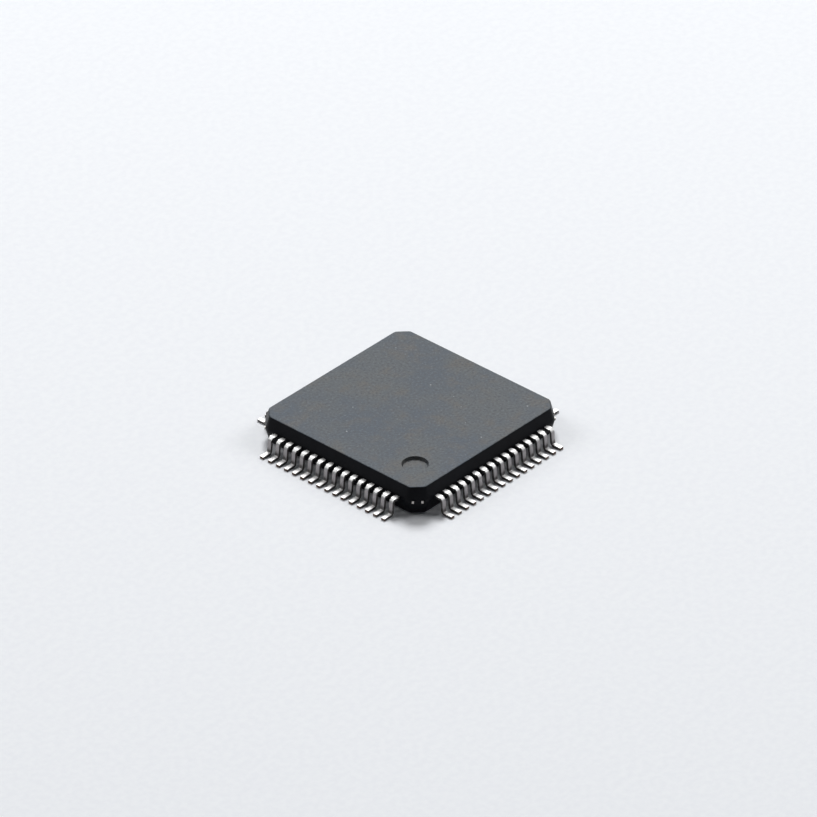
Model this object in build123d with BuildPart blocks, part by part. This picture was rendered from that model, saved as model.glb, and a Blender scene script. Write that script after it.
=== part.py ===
from build123d import *

import os
from math import atan2, cos, radians, sin, sqrt, tan

# A microcontroller in a low-profile quad flat package. The origin is the centre of the seating plane, +Z is up,
# and pin 1 is at the left end of the row that faces -Y. Pins count counter-clockwise, seen from above.

# Moulded body
body_size = 10.0
body_thickness = 1.4
standoff = 0.1
draft_angle = 15.0
corner_cut = 0.6
corner_blend = 0.45
edge_break = 0.05

# Pin-1 dimple in the top
dimple_diameter = 1.25
dimple_depth = 0.16
dimple_draft = 20.0
dimple_inset = 1.75

# Ejector marks in the underside
ejector_diameter = 0.9
ejector_depth = 0.04
ejector_spacing = 6.4

# Lead frame strip and the rows of leads
strip_thickness = 0.127
leads_per_side = 16
leads_per_group = 4
lead_pitch = 0.5
lead_width = 0.22
lead_reach = 1.0

# Gull-wing bends outside the body, and the stubs of the cut dam bar
shoulder_length = 0.255
shank_lean = 5.0
bend_radius = 0.08
bend_facets = 3
dam_stub_width = 0.28
dam_stub_length = 0.155

# Inner ends of the leads, inside the body
root_length = 0.4
tip_gap = 0.35
tip_pitch = 0.3
tip_width = 0.16

# Die pad and its tie bars
pad_size = 5.0
pad_downset = 0.2
downset_slope = 35.0
tie_bar_width = 0.3
tie_bar_run = 0.25
prong_width = 0.1
prong_spacing = 0.434
prong_length = 0.5
prong_spread = 0.2
prong_proud = 0.05

# Chip, its attach layer and the bond wires
attach_thickness = 0.03
chip_size = 3.2
chip_thickness = 0.28
bond_pitch = 0.18
bond_inset = 0.08
wire_width = 0.025
wire_rise = 0.15
stitch_inset = 0.13

# Levels, from the seating plane up
seating_plane = 0.0
foot_top = seating_plane + strip_thickness
body_bottom = seating_plane + standoff
body_top = body_bottom + body_thickness
strip_bottom = (body_bottom + body_top - strip_thickness) / 2
strip_top = strip_bottom + strip_thickness
strip_middle = (strip_bottom + strip_top) / 2
pad_bottom = strip_bottom - pad_downset
pad_top = pad_bottom + strip_thickness
chip_bottom = pad_top + attach_thickness
chip_top = chip_bottom + chip_thickness
loop_level = chip_top + wire_rise

# Distances from the package's centre
body_face = body_size / 2
toe_reach = body_face + lead_reach
shoulder_reach = body_face + shoulder_length
dam_stub_reach = shoulder_reach - dam_stub_length / 2
root_reach = body_face - root_length
tip_reach = pad_size / 2 + tip_gap

sides = 4
groups_per_side = leads_per_side // leads_per_group


def row_place(pin, pitch):
    """Place of a lead, a tip or a bond along its row, with the row centred on the package."""
    return (pin - (leads_per_side - 1) / 2) * pitch


def group_pins(group):
    """Numbers of the neighbouring leads in one group, counted from the start of their row."""
    return range(group * leads_per_group, (group + 1) * leads_per_group)


def four_rows(kind, row_groups):
    """One row's groups turned onto all four sides, each written under its kind and its first and last pin."""
    turned_groups = []
    for side in range(sides):
        for group, row_group in enumerate(row_groups):
            first = side * leads_per_side + group * leads_per_group + 1
            last = first + leads_per_group - 1
            with BuildPart() as turned:
                add(row_group, rotation=(0, 0, 90 * side))
            turned.part.label = f"{kind}_{first:02d}_{last:02d}"
            export_step(turned.part, f"parts/{turned.part.label}.step")
            turned_groups.append(turned.part)
    return turned_groups


def bend(centre_x, centre_y, radius, start, end):
    """Points along one bend of a strip, from one angle to another in degrees."""
    angles = [radians(start + (end - start) * step / bend_facets) for step in range(bend_facets + 1)]
    return [(centre_x + radius * cos(angle), centre_y + radius * sin(angle)) for angle in angles]


os.makedirs("parts", exist_ok=True)

# Gull-wing strip: the outer part of one lead, bent from flat strip and drawn from the side. Both faces of the strip
# turn about the same centres, one under the shoulder and one over the heel, and the shank is tangent to both bends.
outer_radius = bend_radius + strip_thickness
knee_level = strip_bottom - bend_radius
heel_level = foot_top + bend_radius
knee_to_heel = (bend_radius + outer_radius + (knee_level - heel_level) * sin(radians(shank_lean))) / cos(
    radians(shank_lean)
)
heel_reach = shoulder_reach + knee_to_heel
with BuildPart() as gull_wing:
    with BuildSketch(Plane(origin=(0, 0, 0), x_dir=(0, -1, 0), z_dir=(-1, 0, 0))):
        with BuildLine():
            Polyline(
                (root_reach, strip_bottom),
                *bend(shoulder_reach, knee_level, bend_radius, 90, shank_lean),
                *bend(heel_reach, heel_level, outer_radius, 180 + shank_lean, 270),
                (toe_reach, seating_plane),
                (toe_reach, foot_top),
                *bend(heel_reach, heel_level, bend_radius, 270, 180 + shank_lean),
                *bend(shoulder_reach, knee_level, outer_radius, shank_lean, 90),
                (root_reach, strip_top),
                close=True,
            )
        make_face()
    extrude(amount=lead_width / 2, both=True)

# One row of leads, in groups of neighbours. Inside the body each lead fans in as flat strip to a tip beside the die
# pad, and outside it keeps the two stubs of the dam bar just before its first bend.
row_leads = []
for group in range(groups_per_side):
    pins = group_pins(group)
    with BuildPart() as row_lead:
        with BuildSketch(Plane.XY.offset(strip_bottom)):
            for pin in pins:
                root_x = row_place(pin, lead_pitch)
                tip_x = row_place(pin, tip_pitch)
                with BuildLine():
                    Polyline(
                        (tip_x - tip_width / 2, -tip_reach),
                        (root_x - lead_width / 2, -root_reach),
                        (root_x + lead_width / 2, -root_reach),
                        (tip_x + tip_width / 2, -tip_reach),
                        close=True,
                    )
                make_face()
        extrude(amount=strip_thickness)
        with Locations([(row_place(pin, lead_pitch), 0, 0) for pin in pins]):
            add(gull_wing.part)
        with Locations([(row_place(pin, lead_pitch), -dam_stub_reach, strip_middle) for pin in pins]):
            Box(dam_stub_width, dam_stub_length, strip_thickness)
    row_leads.append(row_lead.part)

lead_groups = four_rows("leads", row_leads)

# Tie bar: strip from the pad's corner to the body's cut corner, drawn along the diagonal. It climbs from the sunken
# pad to the level of the leads and forks into two prongs, whose ends show in the cut corner.
slope = radians(downset_slope)
slope_shift = strip_thickness * tan(slope / 2)
bar_start = (pad_size - tie_bar_width) / sqrt(2) - slope_shift
climb_start = pad_size / sqrt(2) + tie_bar_run
climb_end = climb_start + pad_downset / tan(slope)
prong_end = (body_size - corner_cut) / sqrt(2) + prong_proud
prong_start = prong_end - prong_length
fork_start = prong_start - prong_spread
prong_inside = (prong_spacing - prong_width) / 2
prong_outside = (prong_spacing + prong_width) / 2
with BuildPart() as tie_bar:
    with BuildSketch(Plane(origin=(0, 0, 0), x_dir=(1, 1, 0), z_dir=(1, -1, 0))):
        with BuildLine():
            Polyline(
                (bar_start, pad_bottom),
                (climb_start, pad_bottom),
                (climb_end, strip_bottom),
                (fork_start, strip_bottom),
                (fork_start, strip_top),
                (climb_end - slope_shift, strip_top),
                (climb_start - slope_shift, pad_top),
                (bar_start, pad_top),
                close=True,
            )
        make_face()
    extrude(amount=tie_bar_width / 2, both=True)
    with BuildSketch(Plane(origin=(0, 0, strip_bottom), x_dir=(1, 1, 0), z_dir=(0, 0, 1))):
        with BuildLine():
            Polyline(
                (fork_start, tie_bar_width / 2),
                (prong_start, prong_outside),
                (prong_end, prong_outside),
                (prong_end, prong_inside),
                (prong_start, prong_inside),
                (prong_start, -prong_inside),
                (prong_end, -prong_inside),
                (prong_end, -prong_outside),
                (prong_start, -prong_outside),
                (fork_start, -tie_bar_width / 2),
                close=True,
            )
        make_face()
    extrude(amount=strip_thickness)

# Die pad, stamped in one piece with its four tie bars.
with BuildPart() as die_pad:
    with BuildSketch(Plane.XY.offset(pad_bottom)):
        Rectangle(pad_size, pad_size)
    extrude(amount=strip_thickness)
    for corner in range(sides):
        add(tie_bar.part, rotation=(0, 0, 90 * corner))
die_pad.part.label = "die_pad"
export_step(die_pad.part, "parts/die_pad.step")

# Attach layer and chip, stacked on the pad.
with BuildPart() as die_attach:
    with BuildSketch(Plane.XY.offset(pad_top)):
        Rectangle(chip_size, chip_size)
    extrude(amount=attach_thickness)
die_attach.part.label = "die_attach"
export_step(die_attach.part, "parts/die_attach.step")

with BuildPart() as silicon_chip:
    with BuildSketch(Plane.XY.offset(chip_bottom)):
        Rectangle(chip_size, chip_size)
    extrude(amount=chip_thickness)
silicon_chip.part.label = "silicon_chip"
export_step(silicon_chip.part, "parts/silicon_chip.step")

# Bond wires of one row, each drawn in the upright plane through it. A wire rises from the chip and then slopes down to
# the top of its lead, where it ends flush with the strip.
half_wire = wire_width / 2
stitch_share = stitch_inset / (root_reach - tip_reach)
row_wires = []
for group in range(groups_per_side):
    with BuildPart() as row_wire:
        for pin in group_pins(group):
            tip_x = row_place(pin, tip_pitch)
            root_x = row_place(pin, lead_pitch)
            bond = Vector(row_place(pin, bond_pitch), bond_inset - chip_size / 2)
            stitch = Vector(tip_x + (root_x - tip_x) * stitch_share, -tip_reach - stitch_inset)
            heading = stitch - bond
            fall = atan2(loop_level - strip_top, heading.length)
            mitre = half_wire * tan(radians(45) + fall / 2)
            half_foot = half_wire / sin(fall)
            with BuildSketch(Plane(origin=bond, x_dir=heading, z_dir=heading.cross(Vector(0, 0, 1)))):
                with BuildLine():
                    Polyline(
                        (-half_wire, chip_top),
                        (-half_wire, loop_level + mitre),
                        (heading.length + half_foot, strip_top),
                        (heading.length - half_foot, strip_top),
                        (half_wire, loop_level - mitre),
                        (half_wire, chip_top),
                        close=True,
                    )
                make_face()
            extrude(amount=half_wire, both=True)
    row_wires.append(row_wire.part)

wire_groups = four_rows("bond_wires", row_wires)

# Moulding: two drafted halves that meet in an upright band as high as the strip, cast round everything inside.
with BuildPart() as moulding:
    with BuildSketch(Plane.XY.offset(strip_top)) as outline:
        Rectangle(body_size, body_size)
        chamfer(outline.vertices(), corner_cut)
        fillet(outline.vertices(), corner_blend)
    extrude(amount=body_top - strip_top)
    draft(faces().sort_by(Axis.Z)[1:-1], neutral_plane=Plane.XY.offset(strip_top), angle=draft_angle)
    chamfer(faces().sort_by(Axis.Z)[-1].edges(), edge_break)
    extrude(outline.sketch, amount=-strip_thickness / 2)
    mirror(about=Plane.XY.offset(strip_middle))
    with BuildSketch(Plane.XY.offset(body_top)):
        with Locations((dimple_inset - body_face, dimple_inset - body_face)):
            Circle(dimple_diameter / 2)
    extrude(amount=-dimple_depth, taper=dimple_draft, mode=Mode.SUBTRACT)
    with BuildSketch(Plane.XY.offset(body_bottom)):
        with GridLocations(ejector_spacing, ejector_spacing, 2, 2):
            Circle(ejector_diameter / 2)
    extrude(amount=ejector_depth, mode=Mode.SUBTRACT)
    add([*lead_groups, *wire_groups, die_pad.part, die_attach.part, silicon_chip.part], mode=Mode.SUBTRACT)
moulding.part.label = "moulding"
export_step(moulding.part, "parts/moulding.step")
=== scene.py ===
import logging
from dataclasses import dataclass
from enum import Enum
from math import cos, pi, radians, sin, sqrt, tan
from typing import Any, Mapping, Sequence

import bmesh
import bpy
import numpy as np
from mathutils import Matrix, Vector


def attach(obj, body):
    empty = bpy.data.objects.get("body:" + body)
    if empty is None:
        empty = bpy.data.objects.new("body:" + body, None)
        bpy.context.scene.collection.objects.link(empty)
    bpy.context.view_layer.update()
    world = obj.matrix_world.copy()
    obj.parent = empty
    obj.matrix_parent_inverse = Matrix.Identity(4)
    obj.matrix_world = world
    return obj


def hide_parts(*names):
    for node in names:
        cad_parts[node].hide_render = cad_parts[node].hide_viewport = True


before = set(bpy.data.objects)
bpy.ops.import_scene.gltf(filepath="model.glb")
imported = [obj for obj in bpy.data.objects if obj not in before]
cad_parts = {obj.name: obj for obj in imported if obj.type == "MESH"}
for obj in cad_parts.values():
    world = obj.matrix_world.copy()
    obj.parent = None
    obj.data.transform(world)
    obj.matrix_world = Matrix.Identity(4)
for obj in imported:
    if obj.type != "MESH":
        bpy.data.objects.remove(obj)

log = logging.getLogger("microcontroller")

Array = np.ndarray
Colour = tuple[float, float, float, float]
Span = tuple[float, float]
Fixed = tuple[tuple[str, float], ...]

MM = 0.001
ROOT = "root"
LEADS_PER_SIDE = 16
LEADS_PER_GROUP = 4


def srgb(red: float, green: float, blue: float) -> Colour:
    """Linear colour of a screen colour.

    The screen's curve is a straight line near black and a power of 2.4 above it.

    Args:
        red: Red as a screen value from 0 to 255.
        green: Green, the same.
        blue: Blue, the same.

    Returns:
        The linear red, green and blue, and an alpha of 1.
    """
    screen = np.array([red, green, blue]) / 255
    linear = np.where(screen <= 0.04045, screen / 12.92, ((screen + 0.055) / 1.055) ** 2.4)
    return (float(linear[0]), float(linear[1]), float(linear[2]), 1.0)


class Side(Enum):
    """The four sides of the package in pin order, as quarter turns about +Z from the row that faces -Y."""

    FRONT = 0
    RIGHT = 1
    BACK = 2
    LEFT = 3

    def turn(self, points: Array) -> Array:
        """Turns points or directions of the front row onto this side.

        Args:
            points: Rows of x and y, or of x, y and z.

        Returns:
            The turned rows.
        """
        angle = self.value * pi / 2
        spin = np.rint([[cos(angle), -sin(angle), 0], [sin(angle), cos(angle), 0], [0, 0, 1]])
        width = points.shape[-1]
        return points @ spin[:width, :width].T


class Facing(Enum):
    """Which way a flat face of the body looks."""

    UP = 1
    DOWN = -1


class Slot(Enum):
    """The record's material slots."""

    COMPOUND = "mould_compound"
    TIN = "tinned_lead"
    COPPER = "copper_strip"
    EPOXY = "attach_epoxy"
    SILICON = "silicon"
    GOLD = "gold_wire"


class Value:
    """One shader output whose operators add Math nodes."""

    def __init__(self, bench: "Bench", socket: bpy.types.NodeSocket) -> None:
        """Keeps the output socket and the bench that its sums go on."""
        self.bench = bench
        self.socket = socket

    def other(self, output: str) -> "Value":
        """Another output of the same node."""
        return Value(self.bench, self.socket.node.outputs[output])

    def swing(self, amount: float) -> "Value":
        """How far a noise is from its middle of 0.5, times an amount."""
        return amount * (self - 0.5)

    def __add__(self, other: Any) -> "Value":
        """Sum."""
        return self.bench.maths("ADD", self, other)

    def __radd__(self, other: Any) -> "Value":
        """Sum with a number on the left."""
        return self.bench.maths("ADD", other, self)

    def __sub__(self, other: Any) -> "Value":
        """Difference."""
        return self.bench.maths("SUBTRACT", self, other)

    def __rsub__(self, other: Any) -> "Value":
        """Difference from a number on the left."""
        return self.bench.maths("SUBTRACT", other, self)

    def __mul__(self, other: Any) -> "Value":
        """Product."""
        return self.bench.maths("MULTIPLY", self, other)

    def __rmul__(self, other: Any) -> "Value":
        """Product with a number on the left."""
        return self.bench.maths("MULTIPLY", other, self)

    def __abs__(self) -> "Value":
        """Size without its sign."""
        return self.bench.maths("ABSOLUTE", self)

    def __gt__(self, other: Any) -> "Value":
        """1 where this value is above the other, else 0."""
        return self.bench.maths("GREATER_THAN", self, other)

    def __lt__(self, other: Any) -> "Value":
        """1 where this value is below the other, else 0."""
        return self.bench.maths("LESS_THAN", self, other)


@dataclass(frozen=True)
class Pattern:
    """Fractal noise on a surface.

    Args:
        scale: Its cells to the metre.
        detail: Its octaves.
        keep: The share that each octave keeps.
    """

    scale: float
    detail: float
    keep: float = 0.5


class Bench:
    """The node tree of one material or of the world, where any node comes from one method."""

    def __init__(self, tree: bpy.types.NodeTree) -> None:
        """Takes a tree and empties it."""
        self.tree = tree
        self.tree.nodes.clear()

    def node(
        self,
        kind: str,
        settings: Mapping[str, Any] | None = None,
        values: Mapping[Any, Any] | None = None,
        output: Any = 0,
    ) -> Value:
        """Adds a node.

        Args:
            kind: The node's type name.
            settings: Its properties, which are set first.
            values: Its inputs by name or number, as constants or as values to link.
            output: Name or number of the output that is wanted.

        Returns:
            That output, or the first input of a node that has no outputs.
        """
        added = self.tree.nodes.new(kind)
        for name, setting in (settings or {}).items():
            setattr(added, name, setting)
        for name, value in (values or {}).items():
            if isinstance(value, Value):
                self.tree.links.new(value.socket, added.inputs[name])
            else:
                added.inputs[name].default_value = value
        return Value(self, added.outputs[output] if len(added.outputs) else added.inputs[0])

    def maths(self, operation: str, *terms: Any) -> Value:
        """Result of one Math node.

        Args:
            operation: The Math node's operation.
            terms: Its inputs, as numbers or values.

        Returns:
            The node's output.
        """
        return self.node("ShaderNodeMath", {"operation": operation}, dict(enumerate(terms)))

    def object_place(self) -> Value:
        """Place on the piece, in metres."""
        return self.node("ShaderNodeTexCoord", output="Object")

    def coordinates(self, place: Value) -> tuple[Value, Value, Value]:
        """The x, y and z of a place."""
        x = self.node("ShaderNodeSeparateXYZ", {}, {0: place}, "X")
        return x, x.other("Y"), x.other("Z")

    def noise(self, place: Value, pattern: Pattern) -> Value:
        """Fractal noise at a place.

        Args:
            place: The point it is read at.
            pattern: Its cells and octaves.

        Returns:
            A value about 0.5, mostly from 0.3 to 0.7.
        """
        values = {
            "Vector": place,
            "Scale": pattern.scale,
            "Detail": pattern.detail,
            "Roughness": pattern.keep,
        }
        return self.node("ShaderNodeTexNoise", {"noise_dimensions": "3D"}, values, "Fac")

    def ramp(self, value: Value, span: Span) -> Value:
        """Smooth step of a value.

        Args:
            value: What is stepped.
            span: Where the step is at 0 and where it is at 1, which is the lower of the two for a step down.

        Returns:
            A value from 0 to 1.
        """
        values = {"Value": value, "From Min": span[0], "From Max": span[1]}
        return self.node("ShaderNodeMapRange", {"interpolation_type": "SMOOTHSTEP"}, values)

    def band(self, value: Value, span: Span, rise: float, fall: float) -> Value:
        """Smooth band of a value: a step up at its low end times a step down at its high end.

        Args:
            value: What is banded.
            span: Where the band starts and ends.
            rise: How far it takes to rise to 1 past its start.
            fall: How far before its end it starts to fall.

        Returns:
            A value from 0 to 1.
        """
        low, high = span
        return self.ramp(value, (low, low + rise)) * self.ramp(value, (high, high - fall))

    def mix(self, share: Any, first: Any, second: Any) -> Value:
        """Colour between two colours.

        A Mix node has sockets for each kind of data, and the numbers are those of its colours.

        Args:
            share: How much of the second, from 0 to 1.
            first: A colour or a value.
            second: A colour or a value.

        Returns:
            The mixed colour.
        """
        return self.node("ShaderNodeMix", {"data_type": "RGBA"}, {0: share, 6: first, 7: second}, 2)

    def bump(self, height: Value, depth: float) -> Value:
        """Normal of a surface raised by a height.

        Args:
            height: The height, where 1 is the full depth.
            depth: The full depth in metres.

        Returns:
            The bumped normal.
        """
        values = {"Strength": 1.0, "Distance": depth, "Height": height}
        return self.node("ShaderNodeBump", {}, values, "Normal")


Look = tuple[Value, Value, Value]


@dataclass(frozen=True)
class Finish:
    """What every finish shares.

    Args:
        name: The material's name.
        roughness: Its roughness where its noises are at their middle.
        relief: Depth of its bumps in metres.
        fixed: Shader sockets that are the same all over the surface, with their values.
    """

    name: str
    roughness: float
    relief: float
    fixed: Fixed

    def look(self, bench: Bench) -> Look:
        """Its colour, what its roughness gains and how far it is raised, where 1 is its full relief."""
        raise NotImplementedError

    def material(self) -> bpy.types.Material:
        """Makes the material.

        Returns:
            A material whose shader has the fixed sockets and the look.
        """
        made = bpy.data.materials.new(self.name)
        made.use_nodes = True
        bench = Bench(made.node_tree)
        colour, gain, height = self.look(bench)
        varied = {
            "Base Color": colour,
            "Roughness": self.roughness + gain,
            "Normal": bench.bump(height, self.relief),
        }
        shader = bench.node("ShaderNodeBsdfPrincipled", {}, {**dict(self.fixed), **varied})
        bench.node("ShaderNodeOutputMaterial", {}, {"Surface": shader})
        return made


@dataclass(frozen=True)
class MarkedFinish(Finish):
    """Two colours marked out by one noise, which also varies the roughness and raises the surface.

    Args:
        low: Colour where the noise is low.
        high: Colour where the noise is high.
        marks: The noise.
        step: Where the noise turns from the one colour to the other.
        swing: What the roughness gains from the noise.
    """

    low: Colour
    high: Colour
    marks: Pattern
    step: Span
    swing: float

    def look(self, bench: Bench) -> Look:
        """The two colours, and the noise."""
        marks = bench.noise(bench.object_place(), self.marks)
        colour = bench.mix(bench.ramp(marks, self.step), self.low, self.high)
        return colour, marks.swing(self.swing), marks


@dataclass(frozen=True)
class MatteSheenCompound(Finish):
    """Moulding compound off a spark-eroded mould face: matte, finely grained and clouded, with pale specks. Its
    greys are partly painted sheen: lighter than the compound's own near black, standing for light glancing off
    the matte top.

    The specks are grains of filler, one in each cell whose random number is above their rarity. A speck's
    radius is a share of its cell.
    """

    name: str = "matte_sheen_compound"
    roughness: float = 0.58
    relief: float = 0.014 * MM
    # These greys are lighter than the compound's own near black: painted sheen of the top.
    cool: Colour = srgb(61, 73, 86)
    warm: Colour = srgb(82, 87, 90)
    brown: Colour = srgb(91, 86, 79)
    pit: Colour = srgb(53, 59, 66)
    grit: Colour = srgb(100, 106, 112)
    speck: Colour = srgb(160, 163, 166)
    clouds: Pattern = Pattern(420.0, 4.0, 0.55)
    patches: Pattern = Pattern(1100.0, 4.0, 0.6)
    grains: Pattern = Pattern(8000.0, 3.0, 0.65)
    cloud_step: Span = (0.34, 0.66)
    patch_step: Span = (0.45, 0.72)
    patch_share: float = 0.7
    pit_step: Span = (0.52, 0.34)
    grit_step: Span = (0.54, 0.7)
    speck_scale: float = 2400.0
    speck_radius: float = 0.09
    speck_rarity: float = 0.88
    fixed: Fixed = (("IOR", 1.5), ("Specular IOR Level", 0.4))

    def look(self, bench: Bench) -> Look:
        """Grain, clouds and specks."""
        place = bench.object_place()
        cloud = bench.noise(place, self.clouds)
        patch = bench.noise(place, self.patches)
        grain = bench.noise(place, self.grains)
        cell = {"Vector": place, "Scale": self.speck_scale}
        near = bench.node("ShaderNodeTexVoronoi", {"feature": "F1"}, cell, "Distance")
        pick = bench.node("ShaderNodeSeparateColor", {}, {0: near.other("Color")})
        speck = (near < self.speck_radius) * (pick > self.speck_rarity)
        colour = bench.mix(bench.ramp(cloud, self.cloud_step), self.cool, self.warm)
        colour = bench.mix(self.patch_share * bench.ramp(patch, self.patch_step), colour, self.brown)
        colour = bench.mix(bench.ramp(grain, self.pit_step), colour, self.pit)
        colour = bench.mix(bench.ramp(grain, self.grit_step), colour, self.grit)
        return bench.mix(speck, colour, self.speck), grain.swing(0.25) + cloud.swing(0.12), grain


@dataclass(frozen=True)
class SmoothShadeCompound(Finish):
    """Moulding compound off the polished draft of the mould: clouded and finely marked, and near black, darker
    than the compound's own black as painted shade of the body's sides.
    """

    name: str = "smooth_shade_compound"
    roughness: float = 0.36
    relief: float = 0.002 * MM
    # Darker than the compound's own black: painted shade of the body's sides.
    black: Colour = srgb(14, 15, 19)
    soft: Colour = srgb(19, 20, 24)
    clouds: Pattern = Pattern(1500.0, 3.0)
    marks: Pattern = Pattern(16000.0, 3.0, 0.6)
    cloud_step: Span = (0.35, 0.65)
    fixed: Fixed = (("IOR", 1.5), ("Specular IOR Level", 0.07))

    def look(self, bench: Bench) -> Look:
        """Clouds and fine marks."""
        place = bench.object_place()
        cloud = bench.noise(place, self.clouds)
        marks = bench.noise(place, self.marks)
        colour = bench.mix(bench.ramp(cloud, self.cloud_step), self.black, self.soft)
        return colour, marks.swing(0.2), marks


@dataclass(frozen=True)
class BrightTin(Finish):
    """Tin plating on the leads, pale and uneven, with painted shade on the shanks and heels: a grey band on the
    shanks for the shadowed floor they reflect, and a dark band on the heels for the body's dark underside they
    reflect.

    The shank and the heel are bands of height above the feet, in metres.
    """

    name: str = "tinned_lead"
    roughness: float = 0.38
    relief: float = 0.0012 * MM
    tin: Colour = srgb(240, 240, 239)
    dull: Colour = srgb(222, 221, 219)
    # Painted shade: the shanks' grey and the heels' dark stand for what those faces reflect.
    shank_shade: Colour = srgb(160, 156, 157)
    dark: Colour = srgb(104, 101, 101)
    patches: Pattern = Pattern(2600.0, 3.0)
    grains: Pattern = Pattern(26000.0, 2.0, 0.6)
    patch_step: Span = (0.35, 0.7)
    shank: Span = (0.22 * MM, 0.78 * MM)
    shank_fade: float = 0.08 * MM
    heel: Span = (0.132 * MM, 0.36 * MM)
    heel_rise: float = 0.02 * MM
    heel_fall: float = 0.12 * MM
    fixed: Fixed = (("Metallic", 0.5),)

    def look(self, bench: Bench) -> Look:
        """Dull patches, plating grain, and the painted shade of the shanks and the heels."""
        place = bench.object_place()
        patch = bench.noise(place, self.patches)
        grain = bench.noise(place, self.grains)
        _, _, height = bench.coordinates(place)
        # Bands of height that carry the painted shade of the shanks and the heels.
        shank = bench.band(height, self.shank, self.shank_fade, self.shank_fade)
        heel = bench.band(height, self.heel, self.heel_rise, self.heel_fall)
        colour = bench.mix(bench.ramp(patch, self.patch_step), self.tin, self.dull)
        colour = bench.mix(heel, bench.mix(shank, colour, self.shank_shade), self.dark)
        return colour, patch.swing(0.25) + grain.swing(0.1), grain


@dataclass(frozen=True)
class ShadedStampedEdge(Finish):
    """Sides and cut toes of the leads: burnished by the punch and thinly plated, and darker than the tin partly
    as painted shade of the narrow gaps between leads; browner where the toe broke.

    The toe is the reach from the middle of the package, in metres, past which the metal is bare.
    """

    name: str = "shaded_stamped_edge"
    roughness: float = 0.5
    relief: float = 0.003 * MM
    # Greys darker than the tin, partly as painted shade of the gaps between the leads.
    grey: Colour = srgb(112, 109, 108)
    dark: Colour = srgb(78, 74, 73)
    bare: Colour = srgb(96, 74, 62)
    marks: Pattern = Pattern(14000.0, 3.0, 0.6)
    mark_step: Span = (0.35, 0.65)
    toe: float = 5.99 * MM
    fixed: Fixed = (("Metallic", 0.55),)

    def look(self, bench: Bench) -> Look:
        """Punch marks, and the cut toes."""
        place = bench.object_place()
        marks = bench.noise(place, self.marks)
        x, y, _ = bench.coordinates(place)
        reach = bench.maths("MAXIMUM", abs(x), abs(y))
        colour = bench.mix(bench.ramp(marks, self.mark_step), self.grey, self.dark)
        return bench.mix(reach > self.toe, colour, self.bare), marks.swing(0.25), marks


@dataclass(frozen=True)
class RolledStrip(Finish):
    """Rolled copper strip, greyed where its ends show in the body's corners.

    The ends are greyed past a reach from the middle of the package along its diagonals, in metres.
    """

    name: str = "copper_strip"
    roughness: float = 0.34
    relief: float = 0.001 * MM
    copper: Colour = srgb(196, 122, 88)
    grey: Colour = srgb(176, 172, 168)
    marks: Pattern = Pattern(2500.0, 3.0)
    stretch: tuple[float, float, float] = (1.0, 12.0, 1.0)
    outside: float = 6.55 * MM
    fixed: Fixed = (("Metallic", 1.0),)

    def look(self, bench: Bench) -> Look:
        """Rolling marks and grey ends."""
        place = bench.object_place()
        stretched = bench.node("ShaderNodeMapping", {}, {"Vector": place, "Scale": self.stretch}, "Vector")
        marks = bench.noise(stretched, self.marks)
        x, y, _ = bench.coordinates(place)
        diagonal = (abs(x) + abs(y)) * (1 / sqrt(2))
        return bench.mix(diagonal > self.outside, self.copper, self.grey), marks.swing(0.2), marks


@dataclass(frozen=True)
class SilverEpoxy(MarkedFinish):
    """Attach epoxy with flakes of silver in it, grey and matte."""

    name: str = "attach_epoxy"
    roughness: float = 0.55
    relief: float = 0.003 * MM
    low: Colour = srgb(120, 120, 120)
    high: Colour = srgb(168, 168, 166)
    marks: Pattern = Pattern(20000.0, 3.0, 0.7)
    step: Span = (0.4, 0.6)
    swing: float = 0.3
    fixed: Fixed = (("Metallic", 0.4),)


@dataclass(frozen=True)
class PolishedSilicon(Finish):
    """Chip: polished silicon under thin films that tint it in blocks."""

    name: str = "silicon"
    roughness: float = 0.12
    relief: float = 0.0005 * MM
    violet: Colour = srgb(96, 84, 118)
    green: Colour = srgb(84, 104, 98)
    lines: Pattern = Pattern(30000.0, 2.0)
    block_scale: float = 2200.0
    block_randomness: float = 0.6
    fixed: Fixed = (("Metallic", 0.8), ("Coat Weight", 0.4), ("Coat Roughness", 0.1))

    def look(self, bench: Bench) -> Look:
        """Blocks of circuitry."""
        place = bench.object_place()
        settings = {"distance": "CHEBYCHEV", "feature": "F1"}
        values = {"Vector": place, "Scale": self.block_scale, "Randomness": self.block_randomness}
        blocks = bench.node("ShaderNodeTexVoronoi", settings, values, "Color")
        share = bench.node("ShaderNodeSeparateColor", {}, {0: blocks})
        lines = bench.noise(place, self.lines)
        return bench.mix(share, self.violet, self.green), 0.2 * share + lines.swing(0.1), lines


@dataclass(frozen=True)
class DrawnGold(MarkedFinish):
    """Gold wire with the marks of drawing."""

    name: str = "gold_wire"
    roughness: float = 0.22
    relief: float = 0.0004 * MM
    low: Colour = srgb(236, 190, 96)
    high: Colour = srgb(214, 164, 78)
    marks: Pattern = Pattern(40000.0, 2.0)
    step: Span = (0.35, 0.65)
    swing: float = 0.2
    fixed: Fixed = (("Metallic", 1.0),)


@dataclass(frozen=True)
class PalePaper(MarkedFinish):
    """Pale matte sheet with faint fibres, which the part stands on."""

    name: str = "pale_paper"
    roughness: float = 0.9
    relief: float = 0.002 * MM
    low: Colour = srgb(239, 241, 245)
    high: Colour = srgb(243, 245, 248)
    marks: Pattern = Pattern(3000.0, 4.0, 0.6)
    step: Span = (0.3, 0.7)
    swing: float = 0.1
    fixed: Fixed = (("Specular IOR Level", 0.1),)


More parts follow.
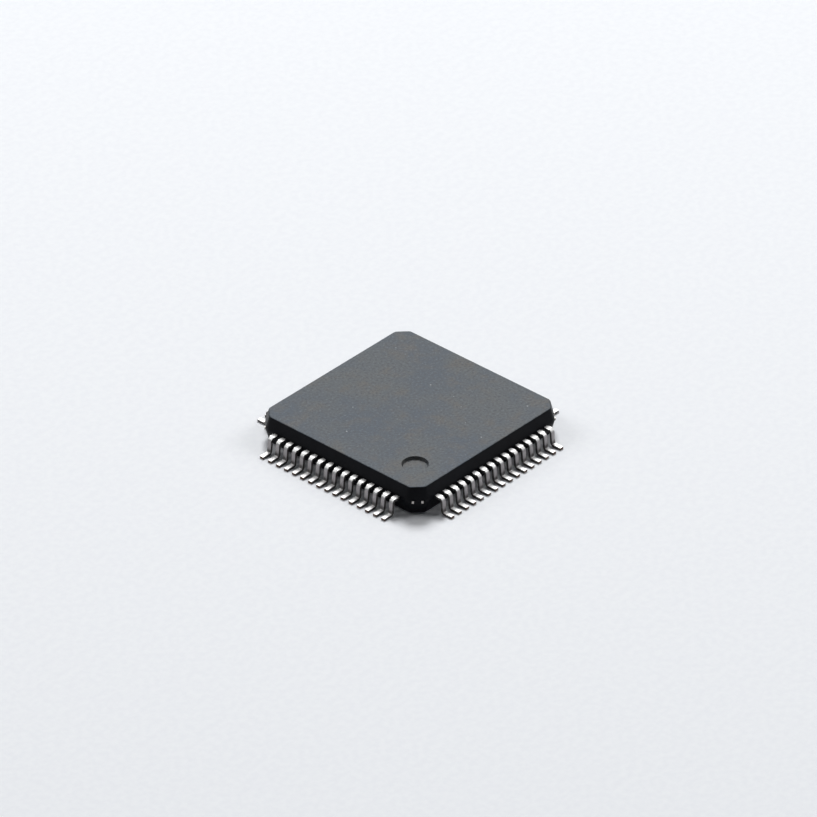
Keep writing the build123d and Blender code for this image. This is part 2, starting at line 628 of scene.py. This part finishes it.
@dataclass
class Surface:
    """A mesh worked out as arrays, in millimetres.

    Args:
        points: Rows of x, y and z.
        corners: Point numbers of the faces' corners, one face after the other.
        counts: For each face the number of its corners.
        picks: For each face the number of its material.
        normals: For each corner its normal, where the surface states them.
    """

    points: Array
    corners: Array
    counts: Array
    picks: Array
    normals: Array | None = None

    @classmethod
    def packed(
        cls, points: Array, blocks: Sequence[Array], picks: Array, normals: Array | None = None
    ) -> "Surface":
        """Surface whose faces come in blocks.

        Args:
            points: Rows of x, y and z.
            blocks: Blocks of faces with equally many corners, a row of point numbers for each face.
            picks: For each face the number of its material.
            normals: For each corner its normal, where the surface states them.

        Returns:
            The surface, with its faces in the order of the blocks.
        """
        corners = np.concatenate([block.ravel() for block in blocks])
        counts = np.concatenate([np.full(len(block), block.shape[1]) for block in blocks])
        return cls(points, corners, counts, picks, normals)

    @classmethod
    def joined(cls, parts: Sequence["Surface"]) -> "Surface":
        """One surface from several, side by side.

        Args:
            parts: The surfaces, all with normals or all without.

        Returns:
            The joined surface.
        """
        starts = np.cumsum([0] + [len(part.points) for part in parts])
        stated = parts[0].normals is not None
        return cls(
            np.concatenate([part.points for part in parts]),
            np.concatenate([part.corners + start for part, start in zip(parts, starts)]),
            np.concatenate([part.counts for part in parts]),
            np.concatenate([part.picks for part in parts]),
            np.concatenate([part.normals for part in parts]) if stated else None,
        )

    def turned(self, side: Side) -> "Surface":
        """The surface turned from the front onto a side of the package."""
        normals = None if self.normals is None else side.turn(self.normals)
        return Surface(side.turn(self.points), self.corners, self.counts, self.picks, normals)


def grid_faces(rows: int, columns: int, wrapped: bool) -> Array:
    """Quads of a grid of points that is numbered row by row.

    Args:
        rows: Rows of points.
        columns: Points in a row.
        wrapped: Whether the last column joins the first.

    Returns:
        Rows of four point numbers, counter-clockwise where rows run up and columns run right.
    """
    across = np.arange(columns if wrapped else columns - 1)
    row, column = np.meshgrid(np.arange(rows - 1), across, indexing="ij")
    after = (column + 1) % columns
    low, high = row * columns, (row + 1) * columns
    return np.stack([low + column, low + after, high + after, high + column], -1).reshape(-1, 4)


def arc(centre: Sequence[float], radius: float, start: float, end: float, steps: int) -> Array:
    """Points along a circular arc.

    Each is the centre plus the radius times the cosine and sine of an angle, over an even run of angles.

    Args:
        centre: The arc's centre.
        radius: Its radius.
        start: First angle in degrees.
        end: Last angle in degrees.
        steps: Chords between them.

    Returns:
        Rows of two coordinates.
    """
    angles = np.radians(np.linspace(start, end, steps + 1))
    return np.asarray(centre) + radius * np.stack([np.cos(angles), np.sin(angles)], -1)


def at_heights(rings: Array, heights: Array) -> Array:
    """Puts flat rings of points at their heights.

    Args:
        rings: For each ring its rows of x and y.
        heights: For each ring its height.

    Returns:
        For each ring its rows of x, y and z.
    """
    column = np.broadcast_to(heights[:, None, None], (*rings.shape[:2], 1))
    return np.concatenate([rings, column], -1)


def travel(points: Array) -> Array:
    """Distance of each point along a line of points, as the running sum of the steps between them."""
    return np.append(0.0, np.cumsum(np.linalg.norm(np.diff(points, axis=0), axis=1)))


def merge_points(mesh: bpy.types.Mesh, distance: float) -> None:
    """Joins the points of a mesh that lie close together, and faces it outwards.

    Args:
        mesh: The mesh, which is changed in place.
        distance: How near two points lie to become one, in metres.
    """
    work = bmesh.new()
    work.from_mesh(mesh)
    bmesh.ops.remove_doubles(work, verts=work.verts, dist=distance)
    bmesh.ops.recalc_face_normals(work, faces=work.faces)
    work.to_mesh(mesh)
    work.free()


def place_piece(
    name: str,
    surface: Surface,
    materials: Sequence[bpy.types.Material],
    node: str,
    merge: float = 0.0,
    sharp: float = 0.0,
) -> None:
    """Puts a surface in the scene for a CAD node, riding on the root body.

    Args:
        name: The piece's name.
        surface: Its mesh in millimetres.
        materials: Its materials, in the order that the surface picks them by.
        node: The CAD node it stands for.
        merge: Distance in millimetres within which points become one, or 0 to leave them.
        sharp: Angle in degrees past which an edge stays sharp, or 0 where the surface states its normals.
    """
    mesh = bpy.data.meshes.new(name)
    faces = np.split(surface.corners, np.cumsum(surface.counts)[:-1])
    mesh.from_pydata((surface.points * MM).tolist(), [], [face.tolist() for face in faces])
    mesh.polygons.foreach_set("use_smooth", np.ones(len(mesh.polygons), bool))
    mesh.polygons.foreach_set("material_index", surface.picks.astype(np.int32))
    if surface.normals is not None:
        mesh.normals_split_custom_set(surface.normals.tolist())
    piece = bpy.data.objects.new(name, mesh)
    bpy.context.scene.collection.objects.link(piece)
    if merge:
        merge_points(mesh, merge * MM)
    if sharp:
        mesh.set_sharp_from_angle(angle=radians(sharp))
    for material in materials:
        mesh.materials.append(material)
    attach(piece, ROOT)
    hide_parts(node)
    log.info("%s: %d faces, for %s", name, len(mesh.polygons), node)


def dress_node(node: str, material: bpy.types.Material) -> None:
    """Gives a carried-over CAD node its material.

    Args:
        node: The node's name.
        material: Its material.
    """
    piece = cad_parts[node]
    piece.data.materials.clear()
    piece.data.materials.append(material)
    log.info("%s: carried over from the frame", node)


@dataclass(frozen=True)
class Pocket:
    """A round pocket in a flat face of the body.

    Args:
        centre: Its middle in x and y, in millimetres, as all its lengths.
        radius: Radius at its rim.
        depth: How deep it goes.
        draft: How far its wall leans, in degrees.
        rim: Radius of the round at its rim.
        foot: Radius of the round at its floor.
        support: Width of the flat strips beside the rounds, which keep the rounds' shading off the flats.
        steps: Chords in each round.
        floor_share: Radius of the ring on its floor, as a share of the rim's.
    """

    centre: tuple[float, float]
    radius: float
    depth: float
    draft: float
    rim: float = 0.014
    foot: float = 0.03
    support: float = 0.03
    steps: int = 6
    floor_share: float = 0.5

    def profile(self) -> Array:
        """Radius and height from the flat in: a round at the rim, the leaning wall, a round and the floor.

        Each round touches its two lines at its radius times the tangent of half its turn from their corner.

        Returns:
            Rows of radius, and of height over a flat that looks up.
        """
        turn = radians(90 - self.draft)
        rim_reach = self.radius + self.rim * tan(turn / 2)
        foot_reach = self.radius - self.depth * tan(radians(self.draft)) - self.foot * tan(turn / 2)
        return np.vstack(
            [
                [rim_reach + self.support, 0],
                arc((rim_reach, -self.rim), self.rim, 90, 180 - self.draft, self.steps),
                arc((foot_reach, self.foot - self.depth), self.foot, -self.draft, -90, self.steps),
                [foot_reach - self.support, -self.depth],
                [self.radius * self.floor_share, -self.depth],
            ]
        )

    def plate(self, boundary: Array, level: float, facing: Facing) -> Surface:
        """Flat plate with the pocket in it.

        Each boundary point is joined straight to the point of the pocket's rim in the same direction from the
        pocket's centre, and from there the pocket's profile is spun about that centre.

        Args:
            boundary: Closed ring of x and y, counter-clockwise seen from above, without its last point.
            level: The plate's height.
            facing: Which way the plate looks.

        Returns:
            The plate with its pocket, closed by a centre point.
        """
        offset = boundary - np.asarray(self.centre)
        spoke = offset / np.linalg.norm(offset, axis=1, keepdims=True)
        profile = self.profile()
        rings = np.asarray(self.centre) + profile[:, :1, None] * spoke
        heights = level + facing.value * profile[:, 1]
        grid = at_heights(np.concatenate([boundary[None], rings]), np.append(level, heights))
        rows, columns = grid.shape[:2]
        points = np.vstack([grid.reshape(-1, 3), [*self.centre, heights[-1]]])
        last = np.arange(columns) + (rows - 1) * columns
        fan = np.stack([last, np.roll(last, -1), np.full(columns, rows * columns)], -1)
        blocks = [block[:, :: facing.value] for block in (grid_faces(rows, columns, True), fan)]
        return Surface.packed(points, blocks, np.zeros(rows * columns, int))


@dataclass
class MouldedBody:
    """The moulded body: a drafted slab with cut corners, round edges, a pin-1 dimple and four ejector marks.

    Lengths are in millimetres and angles in degrees. The half size is that of the upright band round the body,
    and the half below the band mirrors the one above. A cut takes its length off both sides of a corner and is
    blended at both ends. An edge's round touches both faces one edge break from their corner, and strips as
    wide as the support keep its shading off the faces. The ejector mark is the one in the underside's +X +Y
    quarter, which repeats in the others.

    Args:
        matte: Finish of its flats and edges, a lighter grey that is partly painted sheen.
        smooth: Finish of its drafted sides, a near black that is partly painted shade.
    """

    matte: MatteSheenCompound
    smooth: SmoothShadeCompound
    half_size: float = 5.0
    bottom: float = 0.1
    top: float = 1.5
    band_top: float = 0.8635
    draft: float = 15.0
    corner_cut: float = 0.6
    corner_blend: float = 0.45
    edge_break: float = 0.05
    support: float = 0.03
    side_points: int = 48
    blend_steps: int = 6
    edge_steps: int = 8
    axis_points: int = 12
    dimple: Pocket = Pocket((-3.25, -3.25), 0.625, 0.16, 20.0)
    ejector_mark: Pocket = Pocket((3.2, 3.2), 0.45, 0.04, 0.0)
    merge: float = 0.0005
    sharp: float = 12.0

    def quarter(self) -> tuple[Array, Array]:
        """Outline of one quarter, from the middle of the +X side to the middle of the +Y side.

        Two arcs turn the outline by 45 degrees each, at the ends of the cut. An arc's centre lies one radius
        inside both of the lines that it joins, and every point's outward normal is that of its line or arc.

        Returns:
            Rows of x and y, and rows of their outward normals, without the last point.
        """
        inner = self.half_size - self.corner_blend
        end = self.half_size - self.corner_cut - self.corner_blend * (sqrt(2) - 1)
        first = arc((0, 0), 1, 0, 45, self.blend_steps)
        last = arc((0, 0), 1, 45, 90, self.blend_steps)
        steps = self.side_points // 2
        run = np.linspace(0, end, steps, endpoint=False)
        side = np.full(steps, self.half_size)
        right = np.stack([side, run], -1)
        upper = np.stack([run[::-1], side], -1)
        blends = [self.corner_blend * first + [inner, end], self.corner_blend * last + [end, inner]]
        points = np.concatenate([right, *blends, upper])
        normals = np.concatenate([np.tile([1, 0], (steps, 1)), first, last, np.tile([0, 1], (steps, 1))])
        return points[:-1], normals[:-1]

    def outline(self) -> tuple[Array, Array]:
        """The whole outline and its normals, as the quarter turned four times."""
        points, normals = self.quarter()
        turned = [(side.turn(points), side.turn(normals)) for side in Side]
        return np.concatenate([rows for rows, _ in turned]), np.concatenate([rows for _, rows in turned])

    def edge_profile(self) -> Array:
        """Inset and height from the top of the band over the rounded edge onto the flat top.

        The side leans in by the tangent of the draft. The arc touches the side and the top one edge break off
        the corner between them, so its radius is the break over the tangent of half the turn.

        Returns:
            Rows of inset and height, upwards.
        """
        slope = radians(self.draft)
        corner = np.array([(self.top - self.band_top) * tan(slope), self.top])
        radius = self.edge_break / tan((radians(90) - slope) / 2)
        bend = arc(corner + [self.edge_break, -radius], radius, 180 - self.draft, 90, self.edge_steps)
        below = corner - (self.edge_break + self.support) * np.array([sin(slope), cos(slope)])
        flat = corner + [self.edge_break + self.support, 0]
        return np.vstack([[0, self.band_top], below, bend, flat])

    def wall(self) -> tuple[Surface, float]:
        """The side all round, from the flat of the underside to the flat of the top.

        Each profile row is the outline moved in along its normals by the row's inset, at the row's height.

        Returns:
            The surface, and the inset at which both flats start.
        """
        upper = self.edge_profile()
        lower = upper * [1, -1] + [0, self.top + self.bottom]
        profile = np.vstack([lower[::-1], upper])
        points, normals = self.outline()
        grid = at_heights(points - profile[:, :1, None] * normals, profile[:, 1])
        rows, columns = grid.shape[:2]
        run, rise = np.abs(np.diff(profile, axis=0)).T
        # Steep rows take the near-black side finish, partly painted shade; the rest take the lighter flat
        # finish, partly painted sheen.
        picks = np.repeat(rise > run, columns).astype(int)
        wall = Surface.packed(grid.reshape(-1, 3), [grid_faces(rows, columns, True)], picks)
        return wall, float(upper[-1, 0])

    def quadrant(self, inset: float) -> Array:
        """Rim of the +X +Y quarter of the underside's flat.

        It follows the inset outline from the +X axis to the +Y axis, comes down the +Y axis to the middle and
        goes out along the +X axis.

        Args:
            inset: How far the flat starts inside the outline.

        Returns:
            Rows of x and y, counter-clockwise seen from above, without the last point.
        """
        points, normals = self.quarter()
        run = np.linspace(self.half_size - inset, 0, self.axis_points, endpoint=False)
        zero = np.zeros(len(run))
        inwards = np.stack([zero, run], -1)
        outwards = np.stack([np.append(0, run[:0:-1]), zero], -1)
        return np.vstack([points - inset * normals, inwards, outwards])

    def build(self) -> None:
        """Builds and dresses the body."""
        wall, inset = self.wall()
        points, normals = self.outline()
        flat = self.dimple.plate(points - inset * normals, self.top, Facing.UP)
        under = self.ejector_mark.plate(self.quadrant(inset), self.bottom, Facing.DOWN)
        whole = Surface.joined([wall, flat, *(under.turned(side) for side in Side)])
        finishes = (self.matte.material(), self.smooth.material())
        place_piece("moulded_body", whole, finishes, "moulding", self.merge, self.sharp)


@dataclass
class GullWingLeads:
    """Four rows of gull-wing leads, each row in groups of neighbours.

    Lengths are in millimetres and angles in degrees. Five are reaches, which count from the middle of the
    package square to the lead's side: the shoulder where the first bend starts, the toe, the neck just inside
    the body, the root where the fan starts and the tip of the inner end. The level is the height of the strip's
    middle in the body, the bend radius is the inner one, and the stubs are what is left of the cut dam bar. The
    supports are how far before the first bend and the toe a section keeps the run flat. Past the side cosine a
    strip of faces belongs to a side, and past the cut angle to the cut end.

    Args:
        finish: Finish of their faces.
        edge: Finish of their sides and toes, darker in part as painted shade of the gaps.
    """

    finish: BrightTin
    edge: ShadedStampedEdge
    thickness: float = 0.127
    width: float = 0.22
    pitch: float = 0.5
    level: float = 0.8
    bend_radius: float = 0.08
    shoulder: float = 5.255
    toe: float = 6.0
    lean: float = 5.0
    neck: float = 4.95
    root: float = 4.6
    tip: float = 2.85
    tip_pitch: float = 0.3
    tip_width: float = 0.16
    stub_width: float = 0.28
    stub_length: float = 0.155
    stub_ramp: float = 0.03
    stub_fade: float = 0.06
    edge_round: float = 0.014
    toe_angles: tuple[float, ...] = (0.0, 30.0, 55.0, 75.0)
    shoulder_support: float = 0.03
    toe_support: float = 0.15
    corner_steps: int = 3
    ramp_steps: int = 4
    bend_steps: int = 14
    side_cosine: float = 0.8
    cut_angle: float = 50.0

    def path(self) -> tuple[Array, Array]:
        """Centre line of a lead in its upright plane.

        It runs level out of the body, turns down in an arc, leans out along the shank, turns level in an
        opposite arc and ends at the toe. Both arcs have the strip's middle radius.

        Returns:
            Rows of reach and height, and for each the angle in radians of its run below level.
        """
        middle = self.bend_radius + self.thickness / 2
        foot = self.thickness / 2
        knee = (self.shoulder, self.level - middle)
        slope = radians(self.lean)
        drop = knee[1] - (foot + middle)
        heel = (self.shoulder + (2 * middle + drop * sin(slope)) / cos(slope), foot + middle)
        growth = self.shoulder - self.stub_length - self.stub_ramp * np.linspace(1, 0, self.ramp_steps + 1)
        outwards = np.array([self.tip, self.root, self.neck, *growth, self.shoulder - self.shoulder_support])
        rounding = np.sin(np.radians(self.toe_angles))
        ends = self.toe - self.edge_round * (rounding[-1] - rounding)
        landing = np.append(self.toe - self.toe_support, ends)
        points = np.vstack(
            [
                np.stack([outwards, np.full(len(outwards), self.level)], -1),
                arc(knee, middle, 90, self.lean, self.bend_steps),
                arc(heel, middle, 180 + self.lean, 270, self.bend_steps),
                np.stack([landing, np.full(len(landing), foot)], -1),
            ]
        )
        bend = np.linspace(0, 90 - self.lean, self.bend_steps + 1)
        angles = [np.zeros(len(outwards)), bend, bend[::-1], np.zeros(len(landing))]
        return points, np.radians(np.concatenate(angles))

    def half_widths(self, points: Array) -> Array:
        """Half the strip's width along the path: the fan inside the body, the dam stubs and the rest.

        The stubs grow and fade by the smooth step, which is three times the square less twice the cube of a
        share that runs evenly from 0 to 1.

        Args:
            points: The path's rows of reach and height.

        Returns:
            Half the width at each row.
        """
        fan = np.interp(points[:, 0], [self.tip, self.root], [self.tip_width, self.width]) / 2
        bend = self.shoulder - self.tip
        start = bend - self.stub_length
        stations = [start - self.stub_ramp, start, bend, bend + self.stub_fade]
        share = np.interp(travel(points), stations, [0.0, 1.0, 1.0, 0.0])
        return fan + share * share * (3 - 2 * share) * (self.stub_width - self.width) / 2

    def section(self) -> tuple[Array, Array, Array]:
        """The strip's section: a quarter turn of angles for each of its four corners.

        Returns:
            The angles in radians, and for each the signs of its corner's place across the strip and up.
        """
        quarter = np.linspace(0, 90, self.corner_steps + 1)
        angles = np.radians(np.arange(0, 360, 90)[:, None] + quarter).ravel()
        return angles, np.repeat([1, -1, -1, 1], len(quarter)), np.repeat([1, 1, -1, -1], len(quarter))

    def lead(self, pin: int) -> Surface:
        """One lead of the front row.

        A section with rounded corners is carried along the path. Its points are the corner centres plus the
        edge radius times the cosine and sine of the corner's angles. At the toe the radius shrinks by the
        cosine of each toe angle, which rounds the cut end up to its flat cap. A normal leans back along the
        strip by its own part across the strip times the rate at which that side of the strip moves out.

        Args:
            pin: Place of the lead in its row, from 0.

        Returns:
            The lead's surface with the normals of its face corners.
        """
        points, sweep = self.path()
        travelled = travel(points)
        half = self.half_widths(points)
        shift = pin - (LEADS_PER_SIDE - 1) / 2
        fan = [shift * self.tip_pitch, shift * self.pitch]
        middle = np.interp(points[:, 0], [self.tip, self.root], fan)
        spine = np.stack([middle, -points[:, 0], points[:, 1]], -1)
        zero = np.zeros(len(points))
        across = np.stack([zero + 1, zero, zero], -1)
        up = np.stack([zero, -np.sin(sweep), np.cos(sweep)], -1)
        along = np.stack([zero, -np.cos(sweep), -np.sin(sweep)], -1)
        axes = np.stack([across, up, along], 1)

        corner, sign_across, sign_up = self.section()
        tilt = zero.copy()
        tilt[-len(self.toe_angles) :] = np.radians(self.toe_angles)
        cosine, sine = np.cos(tilt)[:, None], np.sin(tilt)[:, None]
        radius = self.edge_round * cosine
        side = sign_across * (half[:, None] - self.edge_round) + radius * np.cos(corner)
        lift = sign_up * (self.thickness / 2 - self.edge_round) + radius * np.sin(corner)
        grid = spine[:, None] + np.stack([side, lift, np.zeros_like(side)], -1) @ axes

        rate = np.gradient(half, travelled)[:, None] * sign_across + np.gradient(middle, travelled)[:, None]
        outwards, upwards = cosine * np.cos(corner), cosine * np.sin(corner)
        normals = np.stack([outwards, upwards, sine - outwards * rate], -1) @ axes
        normals /= np.linalg.norm(normals, axis=-1, keepdims=True)

        rows, columns = side.shape
        quads = grid_faces(rows, columns, True)
        ring = np.arange(columns)
        caps = np.stack([ring[::-1], ring + (rows - 1) * columns])
        cap_normals = np.repeat([-along[0], along[-1]], columns, axis=0)
        corner_normals = np.concatenate([normals.reshape(-1, 3)[quads.ravel()], cap_normals])
        # Side faces take the darker edge finish, partly painted shade of the gaps; the cut toes take it as
        # well.
        sideways = np.abs(np.cos(corner) + np.cos(np.roll(corner, -1))) / 2 > self.side_cosine
        cut = (tilt[1:] + tilt[:-1]) / 2 > radians(self.cut_angle)
        picks = np.append((cut[:, None] | sideways).astype(int), [1, 1])
        return Surface.packed(grid.reshape(-1, 3), [quads, caps], picks, corner_normals)

    def build(self) -> None:
        """Builds and dresses every group on every side."""
        finishes = (self.finish.material(), self.edge.material())
        for side in Side:
            for start in range(0, LEADS_PER_SIDE, LEADS_PER_GROUP):
                group = Surface.joined([self.lead(pin) for pin in range(start, start + LEADS_PER_GROUP)])
                first = side.value * LEADS_PER_SIDE + start + 1
                span = f"{first:02d}_{first + LEADS_PER_GROUP - 1:02d}"
                place_piece(f"gull_wings_{span}", group.turned(side), finishes, f"leads_{span}")


@dataclass
class SealedParts:
    """What the body seals in: the die pad and its tie bars, the attach layer, the chip and the bond wires."""

    strip: RolledStrip
    epoxy: SilverEpoxy
    silicon: PolishedSilicon
    gold: DrawnGold

    def build(self) -> None:
        """Dresses the carried-over nodes."""
        dress_node("die_pad", self.strip.material())
        dress_node("die_attach", self.epoxy.material())
        dress_node("silicon_chip", self.silicon.material())
        gold = self.gold.material()
        for name in sorted(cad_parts):
            if name.startswith("bond_wires"):
                dress_node(name, gold)


@dataclass(frozen=True)
class SoftBox:
    """One square lamp: where it stands, how wide it is and how bright its face is.

    Args:
        name: The lamp's name.
        azimuth: Direction from the part in degrees, counter-clockwise from +X.
        elevation: Height above the floor in degrees.
        distance: Distance from the part in metres.
        size: Width in metres.
        radiance: Brightness of its face, where a white sheet in plain light has 1.
        colour: Its tint.
    """

    name: str
    azimuth: float
    elevation: float
    distance: float
    size: float
    radiance: float
    colour: Colour = (1.0, 1.0, 1.0, 1.0)

    def build(self) -> None:
        """Puts the lamp in place, facing the part."""
        lamp = bpy.data.lights.new(self.name, "AREA")
        lamp.shape = "SQUARE"
        lamp.size = self.size
        lamp.energy = self.radiance * pi * self.size**2
        lamp.color = self.colour[:3]
        holder = bpy.data.objects.new(self.name, lamp)
        turn, lift = radians(self.azimuth), radians(self.elevation)
        way = Vector((cos(turn) * cos(lift), sin(turn) * cos(lift), sin(lift)))
        aim = way.to_track_quat("Z", "Y").to_matrix().to_4x4()
        holder.matrix_world = Matrix.Translation(way * self.distance) @ aim
        holder.visible_camera = False
        bpy.context.scene.collection.objects.link(holder)
        log.info("lamp %s", self.name)


@dataclass
class Studio:
    """Pale floor, soft lamps, plain world and the camera.

    The eye is the camera's place in millimetres, and the gaze is the direction that it looks in, about which it
    rolls by some degrees. Its sensor's width is in millimetres, its focal length and the frame's width are in
    pixels of the photograph, and it sees from near to far, in metres as the floor.
    """

    paper: PalePaper
    lamps: tuple[SoftBox, ...] = (
        SoftBox("back_softbox", 42.0, 54.0, 0.5, 0.18, 19.2),
        SoftBox("left_softbox", 122.0, 42.0, 0.5, 0.24, 3.0),
        SoftBox("right_softbox", -38.0, 42.0, 0.5, 0.24, 3.0),
        SoftBox("sheen_softbox", 42.0, 34.0, 0.5, 0.3, 0.7, (0.9, 0.96, 1.0, 1.0)),
    )
    world_colour: Colour = (0.92, 0.96, 1.0, 1.0)
    world_strength: float = 0.06
    floor_half: float = 0.6
    floor_points: int = 9
    eye: tuple[float, float, float] = (-235.17669, -212.22397, 212.14466)
    gaze: tuple[float, float, float] = (0.61806274, 0.55796629, -0.5537798)
    roll: float = -0.10744
    sensor: float = 36.0
    focal_pixels: float = 8284.59
    frame_pixels: float = 817.0
    near: float = 0.01
    far: float = 10.0

    def floor(self) -> None:
        """Lays the floor as a flat grid of squares."""
        span = np.linspace(-self.floor_half, self.floor_half, self.floor_points)
        x, y = np.meshgrid(span, span)
        points = np.stack([x, y, np.zeros_like(x)], -1).reshape(-1, 3)
        faces = grid_faces(self.floor_points, self.floor_points, False)
        mesh = bpy.data.meshes.new("floor")
        mesh.from_pydata(points.tolist(), [], faces.tolist())
        mesh.materials.append(self.paper.material())
        sheet = bpy.data.objects.new("floor", mesh)
        bpy.context.scene.collection.objects.link(sheet)

    def world(self) -> None:
        """Lights the scene evenly from all round."""
        world = bpy.data.worlds.new("studio")
        world.use_nodes = True
        bench = Bench(world.node_tree)
        values = {"Color": self.world_colour, "Strength": self.world_strength}
        light = bench.node("ShaderNodeBackground", {}, values)
        bench.node("ShaderNodeOutputWorld", {}, {"Surface": light})
        bpy.context.scene.world = world

    def camera(self) -> None:
        """Sets the camera at the photograph's place, looking along its line of sight."""
        camera = bpy.data.cameras.new("camera")
        camera.sensor_fit = "HORIZONTAL"
        camera.sensor_width = self.sensor
        camera.lens = self.focal_pixels * self.sensor / self.frame_pixels
        camera.clip_start = self.near
        camera.clip_end = self.far
        forward = Vector(self.gaze).normalized()
        level = forward.cross(Vector((0, 0, 1))).normalized()
        upright = level.cross(forward)
        turn = radians(self.roll)
        right = level * cos(turn) + upright * sin(turn)
        up = right.cross(forward)
        pose = Matrix((right, up, -forward)).transposed().to_4x4()
        holder = bpy.data.objects.new("camera", camera)
        holder.matrix_world = Matrix.Translation(Vector(self.eye) * MM) @ pose
        bpy.context.scene.collection.objects.link(holder)
        bpy.context.scene.camera = holder

    def build(self) -> None:
        """Builds the studio."""
        self.floor()
        self.world()
        for lamp in self.lamps:
            lamp.build()
        self.camera()
        bpy.context.scene.view_settings.view_transform = "Standard"


def main() -> None:
    """Builds the studio and the part in order."""
    logging.basicConfig(level=logging.INFO, format="%(name)s %(message)s")
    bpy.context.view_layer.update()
    Studio(PalePaper()).build()
    MouldedBody(MatteSheenCompound(), SmoothShadeCompound()).build()
    GullWingLeads(BrightTin(), ShadedStampedEdge()).build()
    SealedParts(RolledStrip(), SilverEpoxy(), PolishedSilicon(), DrawnGold()).build()


if __name__ == "__main__":
    main()
